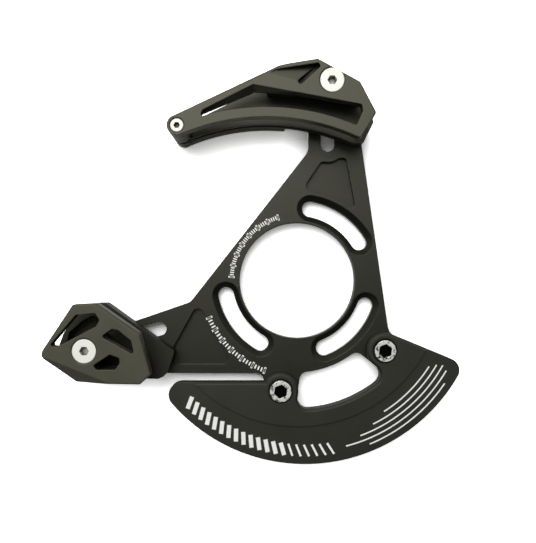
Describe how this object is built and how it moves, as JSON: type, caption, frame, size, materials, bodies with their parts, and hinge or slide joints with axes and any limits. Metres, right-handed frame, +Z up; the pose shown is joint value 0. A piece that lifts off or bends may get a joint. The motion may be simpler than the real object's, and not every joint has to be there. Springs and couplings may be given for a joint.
{
  "type": "bicycle chain guide",
  "caption": "Chain guide for a bicycle's bottom bracket mount: a slotted backplate with sliding upper and lower guides and a curved bash guard.",
  "frame": {"origin": "centre of the backplate's bore, on the face that meets the bicycle frame", "axes": "+X forwards along the bicycle, +Z up, -Y outwards, away from the frame"},
  "size_m": [0.1522, 0.0226, 0.1492],
  "materials": {
    "backplate_aluminium": "black anodised, satin",
    "guard_nylon": "moulded glass-filled nylon, fine grain",
    "guide_nylon": "moulded nylon, satin",
    "insert_brass": "turned",
    "bolt_steel": "bright zinc plated",
    "nut_steel": "zinc plated",
    "bush_acetal": "turned acetal, smooth"
  },
  "bodies": {
    "backplate_body": {"backplate": "backplate_aluminium", "bash_guard": "guard_nylon", "guard_bolts": "bolt_steel"},
    "upper_guide": {"upper_outer_plate": "guide_nylon", "upper_inner_plate": "guide_nylon", "upper_tip_post": "guide_nylon", "upper_tip_insert": "insert_brass", "upper_tip_bolt": "bolt_steel", "upper_clamp_bolt": "bolt_steel", "upper_square_nut": "nut_steel"},
    "lower_guide": {"lower_outer_plate": "guide_nylon", "lower_inner_plate": "guide_nylon", "lower_bush": "bush_acetal", "lower_clamp_bolt": "bolt_steel", "lower_square_nut": "nut_steel"}
  },
  "joints": [
    {"name": "upper_guide_slide", "type": "slide", "parent": "backplate_body", "child": "upper_guide", "axis": [0, 0, 1], "range_m": [-0.0115, 0.0015]},
    {"name": "lower_guide_slide", "type": "slide", "parent": "backplate_body", "child": "lower_guide", "axis": [0.9659, 0, 0.2588], "range_m": [-0.0015, 0.0164]}
  ]
}
